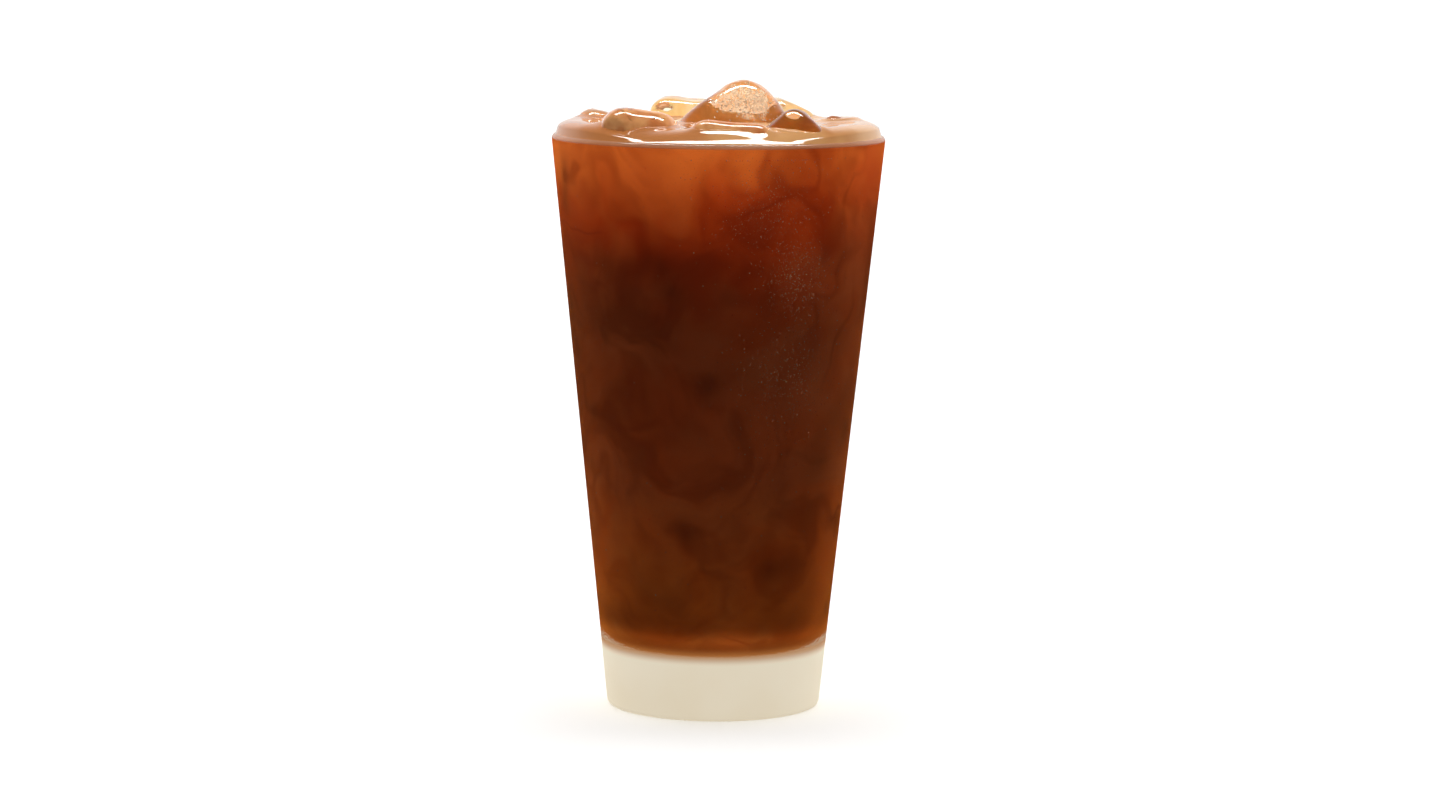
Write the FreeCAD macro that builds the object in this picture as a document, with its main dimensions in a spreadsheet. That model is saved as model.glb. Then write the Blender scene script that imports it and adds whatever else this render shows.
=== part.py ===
# A tall conical glass of iced coffee, filled past its brim, with eight pieces of melting ice that
# stand out of the drink. Millimetres, +Z up, the origin on the table under the middle of the glass.
import FreeCAD, Part
import math
import os

import Sketcher

os.makedirs("parts", exist_ok=True)
doc = FreeCAD.newDocument("IcedCoffee")

# The glass: a pressed tumbler with a straight taper, a heavy floor and a rounded lip.
GLASS_SIZES = {
    "glass_height": 150,
    "rim_radius": 43.5,
    "foot_radius": 27.8,
    "lip_wall": 2.0,
    "foot_wall": 3.0,
    "floor_thickness": 16,
    "floor_corner": 12,
    "outer_lip_rounding": 1.4,
    "inner_lip_rounding": 0.5,
    "foot_rounding": 1.2,
    "foot_ring": 6,
    "recess_depth": 1.0,
    "recess_slope": 2.0,
}

# The drink stands above the lip as a skin that curves down to it. The skin is drawn on into the
# lip by its bite, and ends where it meets the glass.
DRINK_SIZES = {
    "crown_height": 3.0,
    "crown_width": 9.5,
    "crown_bite": 0.2,
}

# Each piece of ice is a block that narrows towards its top and has melted edges. Its middle lies
# across and back from the glass's axis, as shares of the room inside the lip, and rises above the
# lip or lies below it. Turn, pitch and roll are its yaw, pitch and roll in degrees.
ICE_SIZES = {
    "peak": {"length": 31, "width": 22, "depth": 28, "narrowing": 3, "melt": 8,
             "across": 0.115, "back": -0.020, "rise": -3.0, "turn": 12, "pitch": -37, "roll": -16},
    "left": {"length": 11, "width": 11, "depth": 15, "narrowing": 4, "melt": 3.6,
             "across": -0.755, "back": 0.29, "rise": -2.0, "turn": 25, "pitch": 8, "roll": 6},
    "left_front": {"length": 20, "width": 15, "depth": 19, "narrowing": 5, "melt": 5,
                   "across": -0.525, "back": -0.46, "rise": -3.2, "turn": 14, "pitch": 7, "roll": -8},
    "rear": {"length": 20, "width": 15, "depth": 21, "narrowing": 5, "melt": 4,
             "across": -0.225, "back": 0.56, "rise": -2.8, "turn": -6, "pitch": 2, "roll": 6},
    "right_front": {"length": 17, "width": 13, "depth": 16, "narrowing": 3, "melt": 4.8,
                    "across": 0.42, "back": -0.575, "rise": -1.8, "turn": 8, "pitch": -38, "roll": -12},
    "right_rear": {"length": 18, "width": 15, "depth": 20, "narrowing": 5, "melt": 4.5,
                   "across": 0.39, "back": 0.52, "rise": -3.0, "turn": 10, "pitch": 22, "roll": 4},
    "right": {"length": 11, "width": 11, "depth": 14, "narrowing": 4, "melt": 3.4,
              "across": 0.75, "back": 0.17, "rise": -2.0, "turn": -20, "pitch": 12, "roll": -10},
    "ledge": {"length": 17, "width": 10, "depth": 13, "narrowing": 4, "melt": 3,
              "across": -0.03, "back": -0.72, "rise": -2.8, "turn": -4, "pitch": 6, "roll": -10},
}


def fill_sheet():
    """Put every driving size into the spreadsheet, one named cell a row."""
    sheet = doc.addObject("Spreadsheet::Sheet", "Sizes")
    rows = dict(GLASS_SIZES)
    rows.update(DRINK_SIZES)
    for piece, sizes in ICE_SIZES.items():
        rows.update({f"{piece}_{size}": value for size, value in sizes.items()})
    for row, (name, value) in enumerate(rows.items(), start=1):
        sheet.set(f"A{row}", name)
        sheet.set(f"B{row}", str(value))
        sheet.setAlias(f"B{row}", name)
    doc.recompute()
    return sheet


def value_of(expression):
    """The number that an expression of the sheet's names comes to."""
    return float(sizes_sheet.evalExpression(expression))


def bound(expression):
    """The same expression, with each of the sheet's names written as another object reads it."""
    words = expression.split(" ")
    return " ".join(f"Sizes.{word}" if word[0].isalpha() else word for word in words)


def sketch_on(body, name, role):
    """A new sketch in the body, lying on the body's own origin plane of that role."""
    sketch = body.newObject("Sketcher::SketchObject", name)
    plane = next(item for item in body.Origin.OriginFeatures if item.Role == role)
    sketch.AttachmentSupport = [(plane, "")]
    sketch.MapMode = "FlatFace"
    return sketch


def hold(sketch, direction, corner, expression):
    """Hold a side's first end at a distance from the sketch's origin, or on its axis for 0."""
    if expression == "0":
        axis = -2 if direction == "DistanceX" else -1
        sketch.addConstraint(Sketcher.Constraint("PointOnObject", corner, 1, axis))
        return
    origin = (-1, 1)
    distance = Sketcher.Constraint(direction, *origin, corner, 1, value_of(expression))
    number = sketch.addConstraint(distance)
    sketch.setExpression(f"Constraints[{number}]", bound(expression))


def draw_outline(sketch, corners, domed_side=None):
    """Close an outline through corners given as (radius, height) expressions. The domed side is
    an arc, convex and level where it meets the side after it; all the others are straight."""
    spots = [FreeCAD.Vector(value_of(radius), value_of(height), 0) for radius, height in corners]
    count = len(spots)
    for side in range(count):
        start = spots[side]
        end = spots[(side + 1) % count]
        if side == domed_side:
            width = start.x - end.x
            height = end.y - start.y
            dome_radius = (width ** 2 + height ** 2) / (2 * height)
            half_turn = math.asin(width / dome_radius) / 2
            middle = end + FreeCAD.Vector(dome_radius * math.sin(half_turn),
                                          dome_radius * (math.cos(half_turn) - 1), 0)
            sketch.addGeometry(Part.Arc(start, middle, end), False)
        else:
            sketch.addGeometry(Part.LineSegment(start, end), False)
    for side in range(count):
        kind = "Tangent" if side == domed_side else "Coincident"
        sketch.addConstraint(Sketcher.Constraint(kind, side, 2, (side + 1) % count, 1))
    for side, (radius, height) in enumerate(corners):
        hold(sketch, "DistanceX", side, radius)
        hold(sketch, "DistanceY", side, height)


def revolve(body, sketch, name):
    """Turn the sketch once round the glass's axis."""
    solid = body.newObject("PartDesign::Revolution", name)
    solid.Profile = sketch
    solid.ReferenceAxis = (sketch, ["V_Axis"])
    solid.Angle = 360
    sketch.Visibility = False
    doc.recompute()
    return solid


def round_ring(body, base, name, corner, size):
    """Fillet the circular edge that runs through one corner of the turned outline."""
    radius = value_of(corner[0])
    height = value_of(corner[1])
    edges = []
    for number, edge in enumerate(base.Shape.Edges, start=1):
        box = edge.BoundBox
        level = abs(box.ZMin - height) < 0.01 and abs(box.ZMax - height) < 0.01
        if level and abs(box.XMax - radius) < 0.01 and abs(box.YMax - radius) < 0.01:
            edges.append(f"Edge{number}")
    rounding = body.newObject("PartDesign::Fillet", name)
    rounding.Base = (base, edges)
    rounding.setExpression("Radius", bound(size))
    doc.recompute()
    return rounding


# Where the inside wall would meet the floor if the corner between them were sharp.
inside_corner = (
    "foot_radius + ( rim_radius - foot_radius ) * floor_thickness / glass_height - foot_wall",
    "floor_thickness",
)


def make_glass():
    """The tumbler, turned from its half section, with its corners then rounded."""
    body = doc.addObject("PartDesign::Body", "glass")
    body.Label = "glass"
    foot = ("foot_radius", "0")
    outer_lip = ("rim_radius", "glass_height")
    inner_lip = ("rim_radius - lip_wall", "glass_height")
    ring_inside = ("foot_radius - foot_ring", "0")
    recess = ("foot_radius - foot_ring - recess_slope", "recess_depth")
    section = [
        ring_inside,
        foot,
        outer_lip,
        inner_lip,
        inside_corner,
        ("0", "floor_thickness"),
        ("0", "recess_depth"),
        recess,
    ]
    sketch = sketch_on(body, "glass_section", "XZ_Plane")
    draw_outline(sketch, section)
    shape = revolve(body, sketch, "glass_turned")
    shape = round_ring(body, shape, "floor_corner_rounded", inside_corner, "floor_corner")
    shape = round_ring(body, shape, "lip_rounded_outside", outer_lip, "outer_lip_rounding")
    shape = round_ring(body, shape, "lip_rounded_inside", inner_lip, "inner_lip_rounding")
    round_ring(body, shape, "foot_rounded", foot, "foot_rounding")
    return body


def make_drink_blank():
    """A turned solid that fills the glass, with its sides and bottom inside the glass's wall."""
    body = doc.addObject("PartDesign::Body", "drink_blank")
    body.Label = "drink_blank"
    section = [
        ("0", "floor_thickness / 2"),
        ("foot_radius - foot_wall / 2", "floor_thickness / 2"),
        ("rim_radius - outer_lip_rounding", "glass_height - crown_bite"),
        ("rim_radius - outer_lip_rounding - crown_width", "glass_height + crown_height"),
        ("0", "glass_height + crown_height"),
    ]
    crown_side = 2
    sketch = sketch_on(body, "drink_section", "XZ_Plane")
    draw_outline(sketch, section, crown_side)
    revolve(body, sketch, "drink_turned")
    return body


def make_ice(piece):
    """One piece of ice: a tapered block, melted round at every edge, laid where it floats."""
    body = doc.addObject("PartDesign::Body", f"ice_{piece}")
    body.Label = f"ice_{piece}"
    half_length = f"{piece}_length / 2"
    half_width = f"{piece}_width / 2"
    sketch = sketch_on(body, f"{piece}_foot", "XY_Plane")
    sketch.setExpression("AttachmentOffset.Base.z", bound(f"{piece}_depth / -2"))
    draw_outline(sketch, [
        (f"{half_length} * -1", f"{half_width} * -1"),
        (half_length, f"{half_width} * -1"),
        (half_length, half_width),
        (f"{half_length} * -1", half_width),
    ])
    block = body.newObject("PartDesign::Pad", f"{piece}_block")
    block.Profile = sketch
    block.setExpression("Length", bound(f"{piece}_depth"))
    block.setExpression("TaperAngle", bound(f"{piece}_narrowing * -1"))
    sketch.Visibility = False
    doc.recompute()
    melted = body.newObject("PartDesign::Fillet", f"{piece}_melted")
    melted.Base = (block, [f"Edge{number + 1}" for number in range(len(block.Shape.Edges))])
    melted.setExpression("Radius", bound(f"{piece}_melt"))
    place = {
        "Base.x": f"{piece}_across * ( rim_radius - lip_wall )",
        "Base.y": f"{piece}_back * ( rim_radius - lip_wall )",
        "Base.z": f"glass_height + {piece}_rise",
        "Rotation.Yaw": f"{piece}_turn",
        "Rotation.Pitch": f"{piece}_pitch",
        "Rotation.Roll": f"{piece}_roll",
    }
    for setting, expression in place.items():
        body.setExpression(f"Placement.{setting}", bound(expression))
    doc.recompute()
    return body


def make_drink(blank, glass, ice):
    """The drink takes the room inside the glass, less the room that the ice takes."""
    poured = doc.addObject("Part::Cut", "drink_in_glass")
    poured.Base = blank
    poured.Tool = glass
    all_ice = doc.addObject("Part::Compound", "all_ice")
    all_ice.Links = ice
    drink = doc.addObject("Part::Cut", "coffee")
    drink.Label = "coffee"
    drink.Base = poured
    drink.Tool = all_ice
    doc.recompute()
    return drink


sizes_sheet = fill_sheet()
glass = make_glass()
ice_pieces = [make_ice(piece) for piece in ICE_SIZES]
drink = make_drink(make_drink_blank(), glass, ice_pieces)
sub_parts = [glass, drink] + ice_pieces

for item in doc.Objects:
    faults = [state for state in item.State if state in ("Invalid", "Error")]
    if faults:
        raise RuntimeError(f"{item.Label} did not compute: {faults}")
for sub_part in sub_parts:
    shape = sub_part.Shape
    if shape.isNull() or not shape.isValid() or len(shape.Solids) != 1:
        raise RuntimeError(f"{sub_part.Label} is not one valid solid")

for sub_part in sub_parts:
    sub_part.Shape.exportStep(f"parts/{sub_part.Label}.step")
    print(f"{sub_part.Label}: {sub_part.Shape.Volume / 1000:.1f} cm3")
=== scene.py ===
import math
import random

import bpy
import numpy as np
from mathutils import Euler, Matrix, Vector, noise
from mathutils.bvhtree import BVHTree


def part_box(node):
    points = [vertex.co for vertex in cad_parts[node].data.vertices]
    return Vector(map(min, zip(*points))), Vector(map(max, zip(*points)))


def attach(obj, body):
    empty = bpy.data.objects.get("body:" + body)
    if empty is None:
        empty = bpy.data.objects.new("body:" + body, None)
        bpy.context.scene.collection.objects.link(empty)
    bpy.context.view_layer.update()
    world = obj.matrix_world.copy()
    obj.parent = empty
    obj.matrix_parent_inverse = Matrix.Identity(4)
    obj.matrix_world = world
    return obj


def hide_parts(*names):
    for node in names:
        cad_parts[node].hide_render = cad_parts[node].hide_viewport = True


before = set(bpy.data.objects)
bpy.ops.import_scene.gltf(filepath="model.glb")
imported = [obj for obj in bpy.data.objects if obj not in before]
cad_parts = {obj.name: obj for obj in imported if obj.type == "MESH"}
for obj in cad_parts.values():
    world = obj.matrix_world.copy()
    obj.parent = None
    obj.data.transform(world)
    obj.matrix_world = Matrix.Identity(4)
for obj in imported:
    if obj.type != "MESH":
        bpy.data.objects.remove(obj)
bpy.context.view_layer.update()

# ---- The tumbler ----------------------------------------------------------------------------
# Pressed soda glass: straight tapering sides, a heavy floor with a wide corner inside, a rounded
# lip, and a shallow recess that leaves the foot standing on a ring. It comes cold from the bar,
# so its whole outside is misted with condensation.
MM = 0.001
glass_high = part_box("glass")[1]
coffee_low, coffee_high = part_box("coffee")
lip_height = glass_high.z
lip_radius = glass_high.x + 0.15 * MM
foot_radius = 27.8 * MM
lip_wall = 2.0 * MM
foot_wall = 3.0 * MM
floor_height = coffee_low.z
floor_corner = 12 * MM
outer_lip_rounding = 1.4 * MM
inner_lip_rounding = 0.5 * MM
foot_rounding = 1.2 * MM
foot_ring = 6 * MM
recess_depth = 1 * MM
recess_slope = 2 * MM
glass_sides = 192


def wall_radius(height):
    """The outside radius of the straight wall at a height."""
    return foot_radius + (lip_radius - foot_radius) * height / lip_height


def inside_radius(height):
    """The inside radius of the wall at a height: the wall thins evenly up to the lip."""
    share = (height - floor_height) / (lip_height - floor_height)
    return wall_radius(height) - foot_wall + (foot_wall - lip_wall) * share


def soft_outline(corners, steps=8):
    """An open outline through corners given as (radius, height, rounding), rounded as arcs."""
    points = []
    for index, (radius, height, rounding) in enumerate(corners):
        corner = Vector((radius, height))
        if not rounding:
            points.append(corner)
            continue
        back = (Vector(corners[index - 1][:2]) - corner).normalized()
        ahead = (Vector(corners[index + 1][:2]) - corner).normalized()
        half_angle = back.angle(ahead) / 2
        centre = corner + (back + ahead).normalized() * (rounding / math.sin(half_angle))
        first = corner + back * (rounding / math.tan(half_angle)) - centre
        last = corner + ahead * (rounding / math.tan(half_angle)) - centre
        turn_by = math.atan2(first.x * last.y - first.y * last.x, first.dot(last))
        for step in range(steps + 1):
            points.append(centre + Matrix.Rotation(turn_by * step / steps, 2) @ first)
    return points


def turn(outline, sides):
    """Turn an outline about the upright axis. Its ends on the axis become single points. Gives
    the points, the faces, and each face's place along the outline."""
    points = []
    rings = []
    bearings = np.linspace(0, 2 * math.pi, sides, endpoint=False)
    for radius, height in outline:
        start = len(points)
        if radius < 1e-9:
            points.append((0, 0, height))
            rings.append([start] * sides)
        else:
            points += [(radius * math.cos(b), radius * math.sin(b), height) for b in bearings]
            rings.append(list(range(start, start + sides)))
    faces = []
    place = []
    for step, (ring, following) in enumerate(zip(rings, rings[1:])):
        for side in range(sides):
            beside = (side + 1) % sides
            face = [ring[side], ring[beside], following[beside], following[side]]
            faces.append(tuple(dict.fromkeys(face)))
            place.append(step)
    return np.array(points), faces, np.array(place)


def make_piece(name, points, faces, finishes, which=None):
    """A smooth mesh object with its finishes; which says the finish of each face."""
    mesh = bpy.data.meshes.new(name)
    mesh.from_pydata([tuple(point) for point in points], [], faces)
    for finish in finishes:
        mesh.materials.append(finish)
    if which is not None:
        mesh.polygons.foreach_set("material_index", np.asarray(which, dtype=np.int32))
    mesh.shade_smooth()
    mesh.update()
    piece = bpy.data.objects.new(name, mesh)
    bpy.context.scene.collection.objects.link(piece)
    return piece


class Link:
    """A shader socket that Python arithmetic can be written with. Each step adds one node."""

    def __init__(self, tree, socket=None):
        self.tree = tree
        self.socket = socket

    def node(self, kind, settings=None, inputs=None, output=0):
        """Add a node: its settings first, then the values or links of its inputs."""
        made = self.tree.nodes.new(kind)
        for name, value in (settings or {}).items():
            if name == "stops":
                ramp = made.color_ramp
                for index, (position, colour) in enumerate(value):
                    fresh = index >= len(ramp.elements)
                    stop = ramp.elements.new(position) if fresh else ramp.elements[index]
                    stop.position = position
                    stop.color = colour
            else:
                setattr(made, name, value)
        for name, value in (inputs or {}).items():
            if isinstance(value, Link):
                self.tree.links.new(value.socket, made.inputs[name])
            else:
                made.inputs[name].default_value = value
        return Link(self.tree, made.outputs[output] if made.outputs else None)

    def maths(self, operation, first, second):
        return self.node("ShaderNodeMath", {"operation": operation}, {0: first, 1: second})

    def __add__(self, other):
        return self.maths("ADD", self, other)

    def __sub__(self, other):
        return self.maths("SUBTRACT", self, other)

    def __rsub__(self, other):
        return self.maths("SUBTRACT", other, self)

    def __mul__(self, other):
        return self.maths("MULTIPLY", self, other)

    def __truediv__(self, other):
        return self.maths("DIVIDE", self, other)

    __radd__ = __add__
    __rmul__ = __mul__

    def larger(self, other):
        return self.maths("MAXIMUM", self, other)

    def smaller(self, other):
        return self.maths("MINIMUM", self, other)

    def size(self):
        return self.maths("ABSOLUTE", self, 0)

    def near(self, spot, reach):
        """1 at a spot, falling smoothly to 0 a reach away from it."""
        away = self.node("ShaderNodeVectorMath", {"operation": "DISTANCE"}, {0: self, 1: spot}, "Value")
        return away.rise(reach, 0)

    def rise(self, low, high):
        """0 below low and 1 above high, with a smooth step between; high may be the lower."""
        limits = {"Value": self, "From Min": low, "From Max": high}
        return self.node("ShaderNodeMapRange", {"interpolation_type": "SMOOTHSTEP"}, limits)

    def blend(self, none, full):
        """A colour between two, with this value as the share of the second."""
        return self.node("ShaderNodeMix", {"data_type": "RGBA"}, {0: self, 6: none, 7: full}, 2)

    def tint(self, colour, share=1):
        """This colour multiplied by another."""
        settings = {"data_type": "RGBA", "blend_type": "MULTIPLY"}
        return self.node("ShaderNodeMix", settings, {0: share, 6: self, 7: colour}, 2)

    def ramp(self, stops):
        return self.node("ShaderNodeValToRGB", {"stops": stops}, {"Fac": self})

    def cloud(self, scale, detail=2, distortion=0, roughness=0.5):
        """Smooth noise at this place, with scale spots to a metre."""
        knobs = {"Vector": self, "Scale": scale, "Detail": detail, "Distortion": distortion,
                 "Roughness": roughness}
        return self.node("ShaderNodeTexNoise", {}, knobs)


def colour(red, green, blue):
    """A colour written as screen values from 0 to 255, as the shaders take it."""
    return tuple(((c / 255 + 0.055) / 1.055) ** 2.4 if c > 10 else c / 3294.6
                 for c in (red, green, blue)) + (1,)


def new_finish(name):
    """An empty material, and the link that its nodes grow from."""
    finish = bpy.data.materials.new(name)
    finish.use_nodes = True
    finish.node_tree.nodes.clear()
    return finish, Link(finish.node_tree)


def show(root, shader):
    root.node("ShaderNodeOutputMaterial", {}, {"Surface": shader})


def seen_directly(root):
    """1 for what the lens sees, straight or through clear things, and 0 for light on its way."""
    kinds = [root.node("ShaderNodeLightPath", {}, {}, f"Is {kind} Ray")
             for kind in ("Camera", "Transmission")]
    bounces = root.node("ShaderNodeLightPath", {}, {}, "Diffuse Depth")
    return kinds[0].larger(kinds[1]) * (1 - bounces.smaller(1))


def let_lamps_through(root, glassy, tint):
    """A clear thing's shader that throws only a tinted shadow, so that what it holds is lit."""
    shadow = root.node("ShaderNodeLightPath", {}, {}, "Is Shadow Ray")
    passing = root.node("ShaderNodeBsdfTransparent", {}, {"Color": tint})
    return root.node("ShaderNodeMixShader", {}, {0: shadow, 1: glassy, 2: passing})


# The bloom of mist, real all over but thicker in patches on the right front, where it is a painted
# sheen of light from that side: the middle of each patch and how far it reaches (mm), and how
# thick it is.
sheen_mist_patches = [
    ((21, -34, 116), 13, 0.9),
    ((19, -32, 90), 18, 0.7),
    ((13, -40, 136), 17, 0.5),
]
bloom_elsewhere = 0.12
beads_to_a_metre = 1500
mist_white = colour(255, 196, 140)

# The frost on the foot: where it starts and where it covers all, and its colours going up, each
# of which fades into the next between two heights above the floor.
frost_start = 5.6 * MM
frost_full = -0.2 * MM
frost_cream = (colour(240, 225, 195), colour(248, 236, 212))
# Painted light: amber where light comes through the thin drink over the floor, then the drink's brown
# above it.
frost_amber = colour(184, 122, 66)
amber_heights = (-1.4 * MM, 1.8 * MM)
frost_brown = colour(104, 46, 14)
brown_heights = (0.8 * MM, 3.8 * MM)
# How strongly the frost emits its own tone: a painted glow for the light that the thick foot gathers.
frost_glow = 0.72

# The film that the brimming drink leaves on the lip, from and fully at these depths below it.
lip_film_depths = (1.5 * MM, 0.9 * MM)
lip_film_share = 0.7


def misted_glass():
    """Glass under a bloom of fine droplets, which scatters light softly; its thicker patches are a
    painted sheen. The thick foot holds no drink, so there the bloom shows by itself, as a cream
    frost that glows with painted light."""
    finish, root = new_finish("misted glass")
    place = root.node("ShaderNodeTexCoord", {}, {}, "Object")
    height = place.node("ShaderNodeSeparateXYZ", {}, {0: place}, "Z")
    beads = place.node("ShaderNodeTexVoronoi", {"feature": "SMOOTH_F1"},
                       {"Vector": place, "Scale": beads_to_a_metre, "Smoothness": 0.4})
    patches = place.cloud(55, 3).rise(0.35, 0.7)
    bump = root.node("ShaderNodeBump", {}, {"Strength": 0.3, "Distance": 0.25 * MM,
                                            "Height": beads * (0.3 + patches * 0.7)})
    through = root.node("ShaderNodeBsdfRefraction", {}, {
        "Color": colour(254, 251, 245), "Roughness": 0.24, "IOR": 1.25, "Normal": bump})
    sheen = root.node("ShaderNodeBsdfGlossy", {}, {"Roughness": 0.35, "Normal": bump})
    misted = root.node("ShaderNodeMixShader", {}, {0: 0.006, 1: through, 2: sheen})
    # Real mist everywhere, thickened in patches on the right front as a painted sheen of light from
    # that side.
    bloom = bloom_elsewhere
    for middle, reach, thickness in sheen_mist_patches:
        bloom = place.near(Vector(middle) * MM, reach * MM) * thickness + bloom
    white = root.node("ShaderNodeBsdfDiffuse", {}, {"Color": mist_white})
    mist = bloom * (beads.rise(0.30, 0.10) * 0.62 + 0.05)
    misted = root.node("ShaderNodeMixShader", {}, {0: mist, 1: misted, 2: white})
    above_floor = height - floor_height
    tone = (place.cloud(60, 2) + height * 20).blend(*frost_cream)
    tone = above_floor.rise(*amber_heights).blend(tone, frost_amber)
    tone = above_floor.rise(*brown_heights).blend(tone, frost_brown)
    # Painted glow: the frost emits its own tone, for the light that the thick foot gathers.
    frost = root.node("ShaderNodeBsdfPrincipled", {}, {
        "Base Color": tone.tint((0.4, 0.4, 0.4, 1)), "Roughness": 0.6, "Specular IOR Level": 0.1,
        "Emission Color": tone, "Emission Strength": frost_glow})
    foot = above_floor.rise(frost_start, frost_full)
    shown = root.node("ShaderNodeMixShader", {}, {0: foot, 1: misted, 2: frost})
    lip_film = root.node("ShaderNodeBsdfPrincipled", {}, {
        "Base Color": place.cloud(90, 2).blend(colour(214, 140, 96), colour(232, 172, 132)),
        "Roughness": 0.1, "IOR": 1.5})
    at_lip = (lip_height - height).rise(*lip_film_depths) * lip_film_share
    shown = root.node("ShaderNodeMixShader", {}, {0: at_lip, 1: shown, 2: lip_film})
    show(root, let_lamps_through(root, shown, colour(250, 247, 242)))
    return finish


def clear_glass():
    """The polished inside of the tumbler."""
    finish, root = new_finish("clear glass")
    place = root.node("ShaderNodeTexCoord", {}, {}, "Object")
    smears = place.cloud(80, 2) * 0.1
    glassy = root.node("ShaderNodeBsdfRefraction", {}, {
        "Color": colour(254, 252, 248), "Roughness": smears, "IOR": 1.25})
    show(root, let_lamps_through(root, glassy, colour(252, 250, 246)))
    return finish


glass_outline = soft_outline([
    (0, recess_depth, 0),
    (foot_radius - foot_ring - recess_slope, recess_depth, 0.6 * MM),
    (foot_radius - foot_ring, 0, 0.6 * MM),
    (foot_radius, 0, foot_rounding),
    (lip_radius, lip_height, outer_lip_rounding),
    (lip_radius - lip_wall, lip_height, inner_lip_rounding),
    (inside_radius(floor_height), floor_height, floor_corner),
    (0, floor_height, 0),
])
points, faces, place = turn(glass_outline, glass_sides)
inside_from = max(range(len(glass_outline)), key=lambda step: glass_outline[step].y)
tumbler = make_piece("tumbler", points, faces, [misted_glass(), clear_glass()], place > inside_from)
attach(tumbler, "root")
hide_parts("glass")

# ---- The standing ice -----------------------------------------------------------------------
# Cubes from a machine, half melted: their corners have gone round and their faces wavy, they are
# wet all over, and the coffee has run down over some of them and left a milky film.
ICE = {
    "ice_peak": {"seed": 1, "film": 0.12, "waves": 0.9},
    "ice_left": {"seed": 2, "film": 0.0, "waves": 0.5, "shift": (-1.5, 0, -0.8)},
    "ice_left_front": {"seed": 3, "film": 0.85, "waves": 0.8, "soften": 16,
                       "stretch": (1.1, 1.25, 1.0), "shift": (1.2, -4.5, 0.8)},
    "ice_rear": {"seed": 4, "film": 0.0, "waves": 0.6},
    "ice_right_front": {"seed": 5, "film": 0.1, "waves": 0.7, "shift": (1.5, -2.0, 0.4)},
    "ice_right_rear": {"seed": 6, "film": 0.1, "waves": 0.8},
    "ice_right": {"seed": 7, "film": 0.0, "waves": 0.6, "shift": (0, 0, -1.0)},
    "ice_ledge": {"seed": 8, "film": 0.9, "waves": 0.5, "soften": 14,
                  "stretch": (1.3, 1.15, 1.0), "shift": (4.0, -2.6, 1.0)},
}
ice_voxel = 0.6 * MM
film_brown = colour(204, 120, 62)
film_pale = colour(232, 166, 104)
melt_growth = 0.35
melt_wave = 9 * MM
melt_dimple = 3.2 * MM
dimple_share = 0.22
ice_reach = 39.3 * MM


def applied(piece):
    """The piece's mesh with its modifiers applied, which then replaces its own."""
    bpy.context.view_layer.update()
    evaluated = piece.evaluated_get(bpy.context.evaluated_depsgraph_get())
    mesh = bpy.data.meshes.new_from_object(evaluated)
    piece.modifiers.clear()
    piece.data = mesh
    mesh.shade_smooth()
    return mesh


def melt(name, seed, waves, soften=6, stretch=(1, 1, 1), shift=(0, 0, 0)):
    """A copy of an ice node's shape, evenly remeshed, softened, and melted into waves."""
    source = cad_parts[name]
    piece = bpy.data.objects.new("melted_" + name, source.data.copy())
    bpy.context.scene.collection.objects.link(piece)
    low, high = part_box(name)
    middle = (low + high) / 2
    for vertex in piece.data.vertices:
        away = Vector([a * b for a, b in zip(vertex.co - middle, stretch)])
        vertex.co = middle + away + Vector(shift) * MM
    remesh = piece.modifiers.new("remesh", "REMESH")
    remesh.mode = "VOXEL"
    remesh.voxel_size = ice_voxel
    smooth = piece.modifiers.new("smooth", "SMOOTH")
    smooth.iterations = soften
    mesh = applied(piece)
    drift = Vector((seed * 7.3, seed * 3.1, seed * 5.7))
    for vertex in mesh.vertices:
        wave = noise.noise(vertex.co / melt_wave + drift)
        dimple = noise.noise(vertex.co / melt_dimple - drift)
        away = Vector((vertex.co.x, vertex.co.y, 0))
        if away.length > ice_reach:
            vertex.co -= away * (1 - ice_reach / away.length)
        deep = wave * waves + dimple * dimple_share * waves + melt_growth
        vertex.co += vertex.normal * deep * MM
    mesh.update()
    return piece


def wet_ice(name, film):
    """Clear wet ice with a milky film of coffee over part of it, thickest near the drink. The film
    also emits its own tone, a painted glow for light coming through the ice.
    """
    finish, root = new_finish("wet " + name.replace("_", " "))
    place = root.node("ShaderNodeTexCoord", {}, {}, "Object")
    height = place.node("ShaderNodeSeparateXYZ", {}, {0: place}, "Z")
    ripple = place.cloud(700, 2)
    bump = root.node("ShaderNodeBump", {}, {"Strength": 0.2, "Distance": 0.1 * MM, "Height": ripple})
    clear = root.node("ShaderNodeBsdfPrincipled", {}, {
        "Base Color": colour(255, 243, 218), "Roughness": 0.02, "IOR": 1.31,
        "Transmission Weight": 1, "Normal": bump, "Coat Weight": 0.6, "Coat IOR": 1.6,
        "Coat Roughness": 0.02})
    clear = let_lamps_through(root, clear, colour(255, 248, 236))
    film_tone = place.cloud(260, 2).rise(0.3, 0.7).blend(film_brown, film_pale)
    # Painted glow: the film emits a little of its own tone, for light coming through the ice.
    milky = root.node("ShaderNodeBsdfPrincipled", {}, {
        "Base Color": film_tone, "Roughness": 0.05, "IOR": 1.6, "Normal": bump,
        "Emission Color": film_tone, "Emission Strength": 0.16})
    streaks = place.cloud(130, 2, 1.5) + (coffee_high.z + 0.001 - height) * 60
    covered = streaks.rise(0.95 - film * 0.9, 1.1 - film * 0.9)
    show(root, root.node("ShaderNodeMixShader", {}, {0: covered, 1: clear, 2: milky}))
    return finish


ice_pieces = {}
for name, traits in ICE.items():
    film = traits.pop("film")
    piece = melt(name, **traits)
    piece.data.materials.clear()
    piece.data.materials.append(wet_ice(name, film))
    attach(piece, "root")
    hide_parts(name)
    ice_pieces[name] = piece

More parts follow.
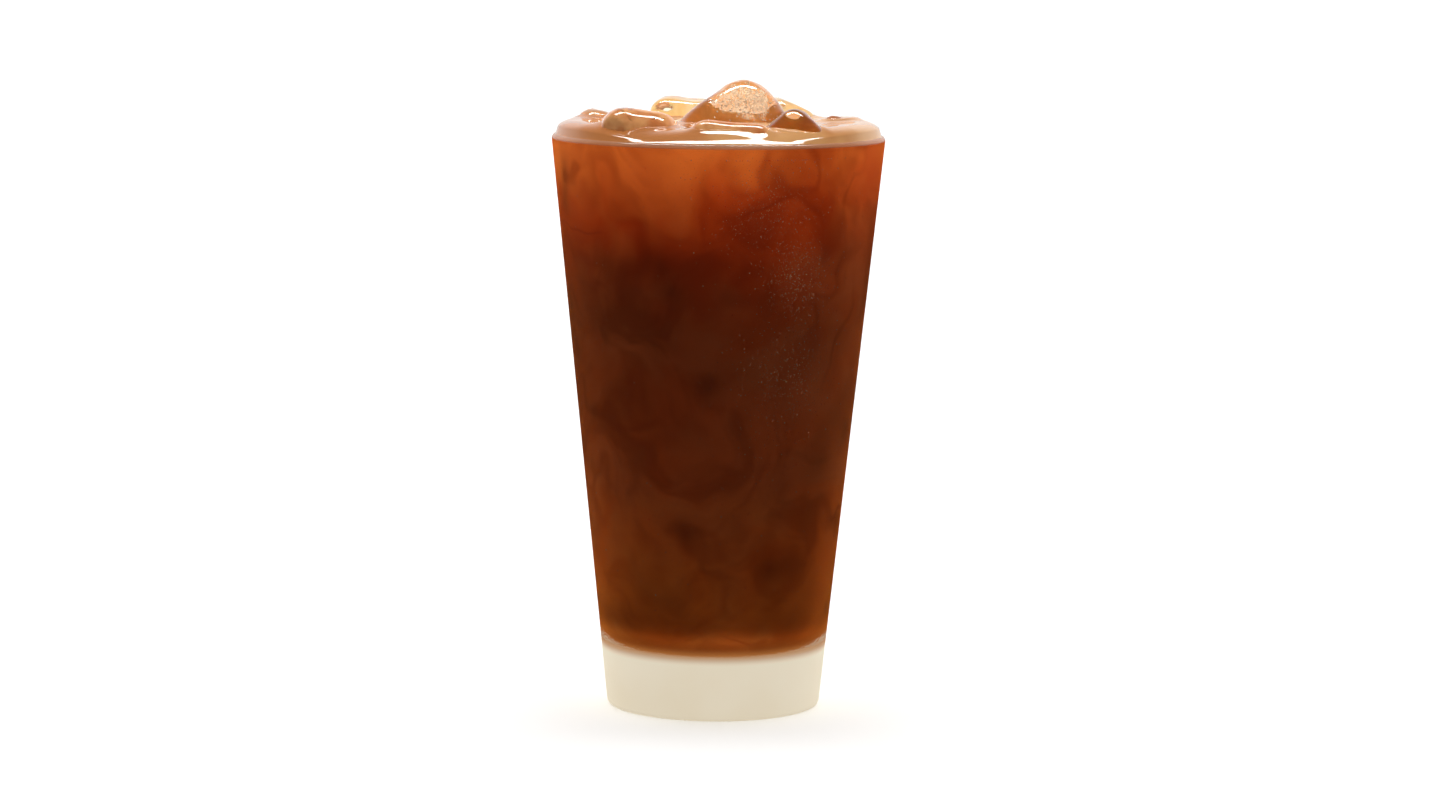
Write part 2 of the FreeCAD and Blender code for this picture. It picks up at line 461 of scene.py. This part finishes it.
# ---- The frost inside the tallest piece ------------------------------------------------------
# Air that froze in: a cloud of tiny bubbles and a few crumpled white veils just behind the front
# face, which is why the tallest piece looks frosty in its upper middle and clear around it.
frost_middle = Vector((8.5, -3.5, 158.6)) * MM
frost_spread = Vector((4.4, 2.8, 2.2)) * MM
bubble_count = 420
bubble_sizes = (0.08 * MM, 0.3 * MM)
veil_size = (12 * MM, 7 * MM)
veil_cuts = 44
veil_places = [(-2.0, -2.6, -0.6, 10), (1.5, -0.6, 0.4, -14), (-3.5, 1.2, -0.6, 24)]


def within(surface, spot, margin):
    """True if a spot lies inside a closed surface by at least a margin."""
    found = surface.find_nearest(spot)
    return (spot - found[0]).dot(found[1]) < -margin


def small_ball():
    """A ball of radius 1 with twenty faces."""
    golden = (1 + math.sqrt(5)) / 2
    corners = [Vector(spot).normalized() for one in (-1, 1) for two in (-golden, golden)
               for spot in ((0, one, two), (one, two, 0), (two, 0, one))]
    near = min((a - b).length for a in corners for b in corners if a is not b) * 1.01
    faces = []
    for i, a in enumerate(corners):
        for j in range(i + 1, 12):
            for k in range(j + 1, 12):
                trio = (corners[j] - a, corners[k] - a, corners[k] - corners[j])
                if max(edge.length for edge in trio) < near:
                    outward = trio[0].cross(trio[1]).dot(a) > 0
                    faces.append((i, j, k) if outward else (i, k, j))
    return corners, faces


def frosty_air():
    """White air in ice: torn veils that let most light by, brighter where they crumple."""
    finish, root = new_finish("frozen air")
    place = root.node("ShaderNodeTexCoord", {}, {}, "Object")
    crumple = place.cloud(420, 4, 1.2)
    tone = crumple.blend(colour(255, 240, 222), colour(255, 252, 248))
    white = root.node("ShaderNodeMixShader", {}, {
        0: 0.5, 1: root.node("ShaderNodeBsdfDiffuse", {}, {"Color": tone}),
        2: root.node("ShaderNodeBsdfTranslucent", {}, {"Color": tone})})
    open_air = root.node("ShaderNodeBsdfTransparent", {}, {})
    torn = (crumple - 0.5).size().rise(0.13, 0.0) * place.cloud(150, 2).rise(0.4, 0.6)
    show(root, root.node("ShaderNodeMixShader", {}, {0: torn * 0.85, 1: open_air, 2: white}))
    return finish


def bubble_air():
    """Round bubbles, painted white for the light that turns back at them."""
    finish, root = new_finish("bubble air")
    place = root.node("ShaderNodeTexCoord", {}, {}, "Object")
    # Painted reflection: the bubbles' white stands in for the light turned back at them.
    tone = place.cloud(300).blend(colour(255, 246, 232), colour(255, 255, 252))
    show(root, root.node("ShaderNodeBsdfPrincipled", {}, {"Base Color": tone, "Roughness": 0.2}))
    return finish


peak_surface = BVHTree.FromObject(ice_pieces["ice_peak"], bpy.context.evaluated_depsgraph_get())
draw = random.Random(11)
ball, ball_faces = small_ball()
points = []
faces = []
while len(points) < bubble_count * len(ball):
    spot = frost_middle + Vector([draw.gauss(0, spread) for spread in frost_spread])
    size = bubble_sizes[0] + (bubble_sizes[1] - bubble_sizes[0]) * draw.random() ** 3
    if spot.z > coffee_high.z - 2 * MM and within(peak_surface, spot, size + 0.4 * MM):
        faces += [[corner + len(points) for corner in face] for face in ball_faces]
        points += [spot + corner * size for corner in ball]
bubbles = make_piece("bubbles_in_ice", points, faces, [bubble_air()])
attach(bubbles, "root")

points = []
faces = []
for shift_x, shift_y, shift_z, lean_by in veil_places:
    middle = frost_middle + Vector((shift_x, shift_y, shift_z)) * MM
    turned = Euler((math.radians(lean_by - 20), math.radians(lean_by), math.radians(lean_by / 2)))
    start = len(points)
    inside = []
    for row in range(veil_cuts + 1):
        for column in range(veil_cuts + 1):
            flat = Vector(((column / veil_cuts - 0.5) * veil_size[0], 0,
                           (row / veil_cuts - 0.5) * veil_size[1]))
            flat.rotate(turned)
            spot = middle + flat
            crumple = noise.noise(spot / (3.5 * MM)) + 0.5 * noise.noise(spot / (1.3 * MM))
            spot.y += crumple * 1.6 * MM
            points.append(spot)
            inside.append(within(peak_surface, spot, 0.5 * MM))
    for row in range(veil_cuts):
        for column in range(veil_cuts):
            corner = row * (veil_cuts + 1) + column
            quad = (corner, corner + 1, corner + veil_cuts + 2, corner + veil_cuts + 1)
            if all(inside[index] for index in quad):
                faces.append([start + index for index in quad])
veils = make_piece("veils_in_ice", points, faces, [frosty_air()])
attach(veils, "root")

# ---- The sunk ice ---------------------------------------------------------------------------
# More cubes from the same machine, under the surface. Some lean on the glass by a face, an edge
# or a corner, with only a thin layer of cloudy drink between, and there the drink's colour is
# painted darker, as shade.
sunk_rounding = 3.2 * MM
sunk_cuts = 10
SUNK = [
    # bearing from the front, height, sizes, the part that leans on the glass, its turn, gap (mm)
    (-31, 116, (17, 19, 16), (1, 0.12, 0.1), 8, 0.2),
    (-72, 137.7, (15, 15, 15), (1, 1, 0.1), 5, 0.0),
    (-2, 90, (18, 15, 15), (1, 1, 0.5), 78, 0.2),
    (-8, 77, (16, 14, 14), (1, 1, 0.4), 8, 1.4),
    (-14.5, 50, (15, 16, 15), (1, 1, 1), 20, 0.4),
    (34, 39.8, (14, 16, 14), (1, 1, 0.3), 84, 0.1),
    (57, 67, (16, 15, 17), (1, 0.9, 0.8), 50, 0.9),
    (-62, 58, (15, 15, 16), (1, 1, 0.8), 30, 1.6),
    (12, 111.5, (16, 16, 15), (1, 1, 0.05), 86, 0.9),
    (28, 60, (17, 15, 16), (1, 0.5, 0.8), 10, 2.0),
]


def sunk_block(sizes):
    """A rounded cube as a grid of points on each of its six faces."""
    half = Vector(sizes) * MM / 2 - Vector((1, 1, 1)) * sunk_rounding
    points = []
    faces = []
    for axis in range(3):
        for sign in (-1, 1):
            start = len(points)
            for row in range(sunk_cuts + 1):
                for column in range(sunk_cuts + 1):
                    spot = [0.0, 0.0, 0.0]
                    spot[axis] = sign
                    spot[(axis + 1) % 3] = sign * math.tan((row / sunk_cuts - 0.5) * math.pi / 2)
                    spot[(axis + 2) % 3] = math.tan((column / sunk_cuts - 0.5) * math.pi / 2)
                    outward = Vector(spot).normalized()
                    core = Vector([max(-h, min(h, s * h * 1.5)) for s, h in zip(spot, half)])
                    points.append(core + outward * sunk_rounding)
            for row in range(sunk_cuts):
                for column in range(sunk_cuts):
                    corner = start + row * (sunk_cuts + 1) + column
                    faces.append((corner, corner + sunk_cuts + 1, corner + sunk_cuts + 2, corner + 1))
    return points, faces


def sunk_finish():
    """Ice seen through cloudy coffee: it takes the coffee's own dark brown."""
    finish, root = new_finish("ice in coffee")
    place = root.node("ShaderNodeTexCoord", {}, {}, "Object")
    tone = place.cloud(140, 3).blend(colour(96, 44, 24), colour(70, 28, 14))
    show(root, root.node("ShaderNodeBsdfPrincipled", {}, {
        "Base Color": tone, "Roughness": 0.15, "IOR": 1.31}))
    return finish


sunk_surface = sunk_finish()
draw = random.Random(23)
for bearing in range(80, 285, 22):
    for level in range(3):
        SUNK.append((bearing + draw.uniform(-9, 9), 38 + 38 * level + draw.uniform(-12, 12),
                     tuple(draw.uniform(14, 18) for _ in range(3)),
                     tuple(draw.uniform(0.2, 1) for _ in range(3)),
                     draw.uniform(0, 180), draw.uniform(0.1, 2.5)))
sunk_places = []
points = []
faces = []
for bearing, level, sizes, leaning, roll, gap in SUNK:
    round_by = math.radians(bearing)
    outward = Vector((math.sin(round_by), -math.cos(round_by), 0))
    leaning = Vector(leaning).normalized()
    turned = leaning.rotation_difference(outward).to_matrix()
    turned = Matrix.Rotation(math.radians(roll), 3, outward) @ turned
    half = Vector(sizes) * MM / 2 - Vector((1, 1, 1)) * sunk_rounding
    reach = sum(abs(h * share) for h, share in zip(half, leaning)) + sunk_rounding
    middle = outward * (inside_radius(level * MM) - reach - gap * MM) + Vector((0, 0, level * MM))
    sunk_places.append((middle, turned, half))
    block, block_faces = sunk_block(sizes)
    faces += [[corner + len(points) for corner in face] for face in block_faces]
    points += [middle + turned @ spot for spot in block]
sunk_ice = make_piece("sunk_ice", points, faces, [sunk_surface])
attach(sunk_ice, "root")

# ---- The coffee -----------------------------------------------------------------------------
# Cold coffee with milk just stirred in, poured past the brim. It wets the whole inside of the
# glass, is held over the lip by its own skin, climbs a little up each piece of ice, and is
# cloudy enough that the ice sunk in it shows only as soft dark patches near the glass, which
# are painted shade.
wall_reach = 0.35 * MM
crown_height = 153 * MM
crown_edge = lip_radius - 1.2 * MM
crown_width = 9.5 * MM
curl_rounding = 0.7 * MM
curl_from = math.radians(115)
curl_steps = 8
skin_step = 0.6 * MM
wall_step = 1.5 * MM
coffee_sides = 320
climb = 0.6 * MM
climb_reach = 1.0 * MM
# How far the painted shade of sunk ice reaches into the drink.
ice_shade_reach = 1.5 * MM
ice_overlap = 0.06 * MM
swell_height = 0.35 * MM
swell_width = 14 * MM
bulge_rise = 1.7 * MM
bulge_edge = 0.6 * MM
bulge_lead = 0.6 * MM
bulge_width = 7 * MM
bulge_sideways = (0.45, 0.85)


def spaced(start, end, step):
    """Points along a straight line, without its start, about a step apart."""
    count = max(1, round((end - start).length / step))
    return [start.lerp(end, index / count) for index in range(1, count + 1)]


def crown_outline():
    """The skin from the curl over the lip up to the level middle, and in to the axis."""
    depth = crown_height - lip_height - 0.1 * MM
    radius = (crown_width ** 2 + depth ** 2) / (2 * depth)
    steepest = math.asin(crown_width / radius)
    top = Vector((crown_edge - crown_width, crown_height))
    centre = top - Vector((0, radius))
    curl_centre = centre + Vector((math.sin(steepest), math.cos(steepest))) * (radius - curl_rounding)
    outline = []
    for step in range(curl_steps):
        angle = curl_from + (steepest - curl_from) * step / curl_steps
        outline.append(curl_centre + Vector((math.sin(angle), math.cos(angle))) * curl_rounding)
    arc_steps = round(radius * steepest / skin_step)
    for step in range(arc_steps):
        angle = steepest * (1 - step / arc_steps)
        outline.append(centre + Vector((math.sin(angle), math.cos(angle))) * radius)
    outline.append(top)
    return outline + spaced(top, Vector((0, crown_height)), skin_step)


def drink_outline():
    """The drink's half section: bottom, corner and wall just inside the glass, then the skin."""
    low = floor_height - wall_reach
    tuck = lip_height - 1.0 * MM
    lower = soft_outline([
        (0, low, 0),
        (inside_radius(floor_height) + wall_reach, low, floor_corner),
        (inside_radius(tuck) + wall_reach, tuck, 0),
    ], steps=14)
    crown = crown_outline()
    bottom = spaced(lower[0], lower[1], 2 * MM)
    wall = spaced(lower[-2], lower[-1], wall_step)
    return [lower[0]] + bottom + lower[2:-1] + wall + crown


outline = drink_outline()
points, faces, place = turn(outline, coffee_sides)
skin_from = next(step for step, spot in enumerate(outline) if spot.y > lip_height - 0.8 * MM)
radii = np.hypot(points[:, 0], points[:, 1])
on_skin = points[:, 2] > lip_height + 0.3 * MM

# The skin climbs each piece of ice that stands out of it, and is never quite level. At the sides
# it stands up over the lip in a steeper bulge than at the front.
ice_surfaces = [BVHTree.FromObject(piece, bpy.context.evaluated_depsgraph_get())
                for piece in ice_pieces.values()]
for index in np.nonzero(on_skin)[0]:
    spot = Vector(points[index])
    rise = 0.0
    for surface in ice_surfaces:
        found = surface.find_nearest(spot, 6 * MM)
        if found[0] is None:
            continue
        inside = (spot - found[0]).dot(found[1]) < 0
        gap = 0 if inside else found[3]
        rise = max(rise, climb * math.exp(-gap / climb_reach))
    inward = max(0, crown_edge - radii[index])
    swell = noise.noise(spot / swell_width) * swell_height
    sideways = abs(spot.x) / radii[index] if spot.x else 0
    sideways = np.interp(sideways, bulge_sideways, (0, 1))
    bulge = 1 - math.exp(-(inward + bulge_lead) / bulge_edge)
    bulge *= math.exp(-(inward / bulge_width) ** 2)
    points[index][2] += (rise + swell) * min(1, inward / (5 * MM)) + bulge * sideways * bulge_rise


def coffee_behind_glass():
    """The body of the drink as it shows through the wall, with its light and shade painted in: orange
    where light comes in under the skin, with a painted glow there, dark brown in the middle, amber
    where it thins over the floor, and a painted shade in the corner at the floor. Milk hangs in it
    in soft plumes and threads, and ice close behind the wall shows as painted dark patches."""
    finish, root = new_finish("coffee behind glass")
    place = root.node("ShaderNodeTexCoord", {}, {}, "Object")
    height = place.node("ShaderNodeSeparateXYZ", {}, {0: place}, "Z")
    bend = place.node("ShaderNodeTexNoise", {}, {"Vector": place, "Scale": 36, "Detail": 2}, "Color")
    stirred = bend.node("ShaderNodeVectorMath", {"operation": "MULTIPLY_ADD"},
                        {0: bend, 1: (0.036, 0.036, 0.05), 2: place})
    wander = (place.cloud(30, 2, 0.4) - 0.5) * 0.03
    level = (height + wander - floor_height) / (lip_height - floor_height)
    # Painted light: orange at the top where light comes in under the skin, dark brown in the middle,
    # amber low down where the drink thins over the floor.
    deep = level.ramp([
        (0.00, colour(190, 104, 42)), (0.04, colour(192, 92, 30)), (0.10, colour(232, 112, 36)),
        (0.20, colour(236, 104, 34)), (0.35, colour(208, 86, 34)), (0.52, colour(190, 76, 32)),
        (0.68, colour(186, 69, 26)), (0.80, colour(180, 62, 19)), (0.92, colour(168, 62, 19)),
        (1.00, colour(176, 82, 30))])
    plume = stirred.cloud(28, 3).rise(0.42, 0.62)
    deep = (plume * 0.36).blend(deep, level.ramp([
        (0.05, colour(238, 150, 76)), (0.35, colour(204, 110, 64)), (0.75, colour(206, 108, 62)),
        (0.95, colour(212, 116, 48))]))
    thick = stirred.cloud(36, 3, 0.5).rise(0.44, 0.66)
    deep = deep.tint((0.55, 0.38, 0.3, 1), thick * 0.7)
    # Darker in random patches over the top 30 mm.
    dark_patches = place.cloud(17, 2, 0.6).rise(0.4, 0.62)
    deep = deep.tint((0.62, 0.52, 0.48, 1), dark_patches * height.rise(
        lip_height, lip_height - 30 * MM) * 0.7)
    threads = (stirred.cloud(30, 1) - 0.5).size().rise(0.03, 0.0)
    threads = threads * place.cloud(24, 1).rise(0.5, 0.62)
    deep = deep.tint((0.55, 0.32, 0.2, 1), threads * 0.45)
    # Painted shade: darker over the lowest few millimetres, in the corner at the floor.
    deep = deep.tint((0.5, 0.42, 0.4, 1), (height - floor_height).rise(6 * MM, 2 * MM))
    # Painted shade: the drink is darker where sunk ice lies close behind the wall.
    near_ice = root.node("ShaderNodeAttribute", {"attribute_name": "near_ice"}, {}, "Fac")
    deep = deep.tint((0.3, 0.25, 0.3, 1), near_ice * 0.8)
    # Painted glow: the upper drink emits its own colour, rising towards the skin, for the light that
    # comes in under it.
    under_skin = (height + wander * 0.5).rise(lip_height - 52 * MM, lip_height)
    glow = deep.tint(under_skin.ramp([
        (0, (0, 0, 0, 1)), (0.4, (0.16, 0.13, 0.1, 1)), (0.8, (0.6, 0.5, 0.35, 1)),
        (1, (1, 0.95, 0.9, 1))]))
    shade = root.node("ShaderNodeBsdfPrincipled", {}, {
        "Base Color": deep, "Roughness": 0.6, "Specular IOR Level": 0,
        "Emission Color": glow, "Emission Strength": 1.0,
        "Sheen Weight": 1.0, "Sheen Roughness": 0.5, "Sheen Tint": colour(248, 158, 70)})
    show(root, shade)
    return finish


def coffee_skin():
    """The wet top of the drink, pale brown with milk and glossy, and painted paler towards the right
    as a reflection of the bright room.
    """
    finish, root = new_finish("coffee skin")
    place = root.node("ShaderNodeTexCoord", {}, {}, "Object")
    bend = place.node("ShaderNodeTexNoise", {}, {"Vector": place, "Scale": 60, "Detail": 2}, "Color")
    stirred = bend.node("ShaderNodeVectorMath", {"operation": "MULTIPLY_ADD"},
                        {0: bend, 1: (0.02, 0.02, 0.02), 2: place})
    across = place.node("ShaderNodeSeparateXYZ", {}, {0: place}, "X")
    # Random milky patches, and paler towards the right: a painted reflection of the bright room.
    pale = (stirred.cloud(45, 3) + across * 6).rise(0.35, 0.75)
    tone = pale.blend(colour(204, 128, 68), colour(230, 170, 108))
    shade = root.node("ShaderNodeBsdfPrincipled", {}, {
        "Base Color": tone, "Roughness": 0.04, "IOR": 1.5})
    show(root, shade)
    return finish


def coffee_under_ice():
    """The drink against the underside of the ice, with the light that comes down through the ice
    painted in: amber, red-brown towards the front, and pale yellow at the back where it passes
    through, and it emits a little of its own colour as a painted glow."""
    finish, root = new_finish("coffee under ice")
    place = root.node("ShaderNodeTexCoord", {}, {}, "Object")
    backward = place.node("ShaderNodeSeparateXYZ", {}, {0: place}, "Y")
    glow = place.cloud(110, 3, 0.8).rise(0.3, 0.7)
    # Painted light: amber, red-brown towards the front, pale yellow at the back where light passes
    # through.
    amber = glow.blend(colour(188, 112, 24), colour(224, 160, 46))
    amber = backward.rise(-10 * MM, -28 * MM).blend(amber, glow.blend(
        colour(158, 70, 22), colour(192, 102, 36)))
    tone = backward.rise(6 * MM, 22 * MM).blend(amber, glow.blend(
        colour(248, 222, 160), colour(254, 246, 226)))
    # Painted glow: it emits a quarter of its own colour.
    shade = root.node("ShaderNodeBsdfPrincipled", {}, {
        "Base Color": tone, "Roughness": 0.5, "Specular IOR Level": 0,
        "Emission Color": tone.tint((0.25, 0.25, 0.25, 1)), "Emission Strength": 1})
    show(root, shade)
    return finish


coffee = make_piece("coffee_drink", points, faces, [coffee_behind_glass(), coffee_skin()],
                    place >= skin_from)


def carve(piece, tools, finish, shrink):
    """Cut the drink away where the ice is, a hair inside the ice so that no gap is left."""
    joined = []
    joined_faces = []
    for tool in tools:
        start = len(joined)
        joined += [vertex.co - vertex.normal * shrink for vertex in tool.data.vertices]
        joined_faces += [[corner + start for corner in face.vertices] for face in tool.data.polygons]
    cutter = make_piece("cutter", joined, joined_faces, [finish])
    cut = piece.modifiers.new("cut", "BOOLEAN")
    cut.operation = "DIFFERENCE"
    cut.solver = "MANIFOLD"
    cut.material_mode = "TRANSFER"
    cut.object = cutter
    applied(piece)
    bpy.data.objects.remove(cutter)


carve(coffee, ice_pieces.values(), coffee_under_ice(), ice_overlap)


def gap_to_sunk_ice(spots):
    """How far each spot is from the nearest sunk cube."""
    nearest = np.full(len(spots), 1.0)
    for middle, turned, half in sunk_places:
        local = (spots - np.array(middle)) @ np.array(turned)
        past = np.abs(local) - np.array(half)
        outside = np.linalg.norm(np.maximum(past, 0), axis=1)
        within_core = np.minimum(past.max(axis=1), 0)
        nearest = np.minimum(nearest, outside + within_core - sunk_rounding)
    return np.maximum(nearest, 0)


spots = np.empty(len(coffee.data.vertices) * 3)
coffee.data.vertices.foreach_get("co", spots)
# How near each point of the drink is to sunk ice, which sets its painted shade.
near_ice = coffee.data.attributes.new("near_ice", "FLOAT", "POINT")
near_ice.data.foreach_set("value", np.exp(-gap_to_sunk_ice(spots.reshape(-1, 3)) / ice_shade_reach))
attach(coffee, "root")
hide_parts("coffee")

# ---- The condensation -----------------------------------------------------------------------
# Fine drops that have grown out of the mist on the outside. They crowd on the front, to the
# right, where the glass is coldest and nobody has touched it, and are few elsewhere.
drop_count = 2600
drop_sizes = (0.08 * MM, 0.19 * MM)
drop_sides = 7
drop_rings = ((1.0, -0.12), (0.78, 0.30))
drop_front = 0.5
drop_back = -0.14
drop_hang = 1.1
drop_levels = (8, 146)

# Each crowd of drops: its bearing from the front, its height (mm), and how far it spreads in both.
drop_patches = [(31, 114, 8, 7), (28, 90, 13, 13), (20, 134, 14, 9)]


def water():
    """A drop of water, with a warm tint and a warm diffuse share painted in for the light caught in it.
    """
    finish, root = new_finish("water drops")
    place = root.node("ShaderNodeTexCoord", {}, {}, "Object")
    # Painted light: the warm diffuse share and tint stand in for the light caught in the drops.
    tone = place.cloud(200).blend(colour(255, 214, 176), colour(255, 232, 206))
    drop = root.node("ShaderNodeMixShader", {}, {
        0: place.cloud(900, 1).rise(0.3, 0.7) * 0.3,
        1: root.node("ShaderNodeBsdfRefraction", {}, {
            "Color": colour(250, 214, 176), "Roughness": 0.1, "IOR": 1.08}),
        2: root.node("ShaderNodeBsdfDiffuse", {}, {"Color": tone})})
    show(root, let_lamps_through(root, drop, (1, 1, 1, 1)))
    return finish


draw = random.Random(5)
points = []
faces = []
for index in range(drop_count):
    if index % 4:
        bearing, level, spread_round, spread_up = drop_patches[index % 3]
        bearing = draw.gauss(bearing, spread_round)
        level = draw.gauss(level, spread_up)
    else:
        bearing = draw.uniform(-180, 180)
        level = draw.uniform(24, 144)
    level = min(drop_levels[1], max(drop_levels[0], level)) * MM
    size = drop_sizes[0] + (drop_sizes[1] - drop_sizes[0]) * draw.random() ** 3
    round_by = math.radians(bearing)
    outward = Vector((math.sin(round_by), -math.cos(round_by), 0))
    across = Vector((math.cos(round_by), math.sin(round_by), 0))
    middle = outward * wall_radius(level) + Vector((0, 0, level))
    start = len(points)
    for ring_size, lift in drop_rings:
        for side in range(drop_sides):
            turn_by = 2 * math.pi * side / drop_sides
            ring = across * math.cos(turn_by) + Vector((0, 0, drop_hang)) * math.sin(turn_by)
            points.append(middle + ring * size * ring_size + outward * size * lift)
    points.append(middle + outward * size * drop_front)
    points.append(middle + outward * size * drop_back)
    for side in range(drop_sides):
        beside = (side + 1) % drop_sides
        faces.append((start + side, start + beside, start + drop_sides + beside,
                      start + drop_sides + side))
        faces.append((start + drop_sides + side, start + drop_sides + beside,
                      start + 2 * drop_sides))
        faces.append((start + beside, start + side, start + 2 * drop_sides + 1))
drops = make_piece("condensation", points, faces, [water()])
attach(drops, "root")

# ---- The table ------------------------------------------------------------------------------
# A plain white table that runs out of sight. It is bright to look at, and throws little light
# back up at the drink, as if the tabletop near the glass were flagged.
table_half = 6.0
table = make_piece("table", [(-table_half, -table_half, 0), (table_half, -table_half, 0),
                             (table_half, table_half, 0), (-table_half, table_half, 0)],
                   [(0, 1, 2, 3)], [])
finish, root = new_finish("white table")
place = root.node("ShaderNodeTexCoord", {}, {}, "Object")
paper = place.cloud(3, 2).blend(colour(246, 246, 245), colour(249, 248, 246))
bright = root.node("ShaderNodeBsdfDiffuse", {}, {"Color": paper})
flagged = root.node("ShaderNodeBsdfDiffuse", {}, {"Color": place.cloud(3, 2).blend(
    colour(100, 98, 94), colour(104, 102, 98))})
show(root, root.node("ShaderNodeMixShader", {}, {0: seen_directly(root), 1: flagged, 2: bright}))
table.data.materials.append(finish)

# ---- The studio light -----------------------------------------------------------------------
# A bright wall behind lights the edges of the drink, a broad soft light hangs overhead, and a
# hard-edged card a little behind it draws the white line along the lip and the lights on the ice.
fill_strength = 0.12
ceiling_strength = 0.08
wall_strength = 5.0
wall_in_gloss = 0.8
overhead_strength = 4.4
card_strength = 19
world = bpy.data.worlds.new("studio")
bpy.context.scene.world = world
world.use_nodes = True
world.node_tree.nodes.clear()
root = Link(world.node_tree)
towards = root.node("ShaderNodeTexCoord", {}, {}, "Generated")


def facing(direction):
    """How far a light's place in the room lies along a direction."""
    operation = {"operation": "DOT_PRODUCT"}
    return root.node("ShaderNodeVectorMath", operation, {0: towards, 1: direction}, "Value")


def softbox(elevation, bearing, half_width, half_height, edge):
    """1 inside a rectangle of the room seen that many degrees up, and round from straight behind."""
    up = math.radians(elevation)
    round_by = math.radians(bearing)
    middle = Vector((math.sin(round_by) * math.cos(up), math.cos(round_by) * math.cos(up),
                     math.sin(up)))
    across = Vector((math.cos(round_by), -math.sin(round_by), 0))
    upward = across.cross(middle)
    ahead = facing(middle)
    nearness = ahead.larger(0.01)
    side = (facing(across) / nearness).size()
    top = (facing(upward) / nearness).size()
    wide = math.tan(math.radians(half_width))
    high = math.tan(math.radians(half_height))
    inside = side.rise(wide + edge, wide - edge) * top.rise(high + edge, high - edge)
    return inside * ahead.rise(0.0, 0.1)


behind = facing((0, 1, 0))
height = facing((0, 0, 1))
glossy = root.node("ShaderNodeLightPath", {}, {}, "Is Glossy Ray")
wall = behind.rise(0.12, 0.72) * height.rise(0.75, 0.35)
wall = wall * (wall_strength - glossy * (wall_strength - wall_in_gloss))
room = fill_strength + wall + height.rise(0.3, 1.0) * ceiling_strength
overhead = softbox(87, 180, 24, 18, 0.2) * overhead_strength
card = softbox(68.5, 0, 27, 5.4, 0.01) * card_strength
light = room + overhead * (1 - glossy) + card * glossy
strength = light + seen_directly(root) * (1 - light)
glow = root.node("ShaderNodeBackground", {}, {"Color": (1, 1, 1, 1), "Strength": strength})
root.node("ShaderNodeOutputWorld", {}, {"Surface": glow})

# ---- The camera -----------------------------------------------------------------------------
# It stands a little above the drink and more than a metre away, and looks slightly down with a
# long lens, so that the tumbler hardly narrows with distance.
camera_back = 1145.4 * MM
camera_height = 225.2 * MM
camera_side = 1.09 * MM
look_down = math.radians(7.28)
lean = math.radians(0.59)
camera = bpy.data.objects.new("camera", bpy.data.cameras.new("camera"))
camera.data.sensor_width = 36
camera.data.lens = 110.2
camera.data.clip_start = 0.01
ahead = Vector((0, math.cos(look_down), -math.sin(look_down)))
level = Vector((1, 0, 0))
above = level.cross(ahead)
rightward = level * math.cos(lean) + above * math.sin(lean)
upward = above * math.cos(lean) - level * math.sin(lean)
turned = Matrix((rightward, upward, -ahead)).transposed().to_4x4()
camera.matrix_world = Matrix.Translation((camera_side, -camera_back, camera_height)) @ turned
bpy.context.scene.collection.objects.link(camera)
bpy.context.scene.camera = camera
bpy.context.scene.view_settings.view_transform = "Standard"
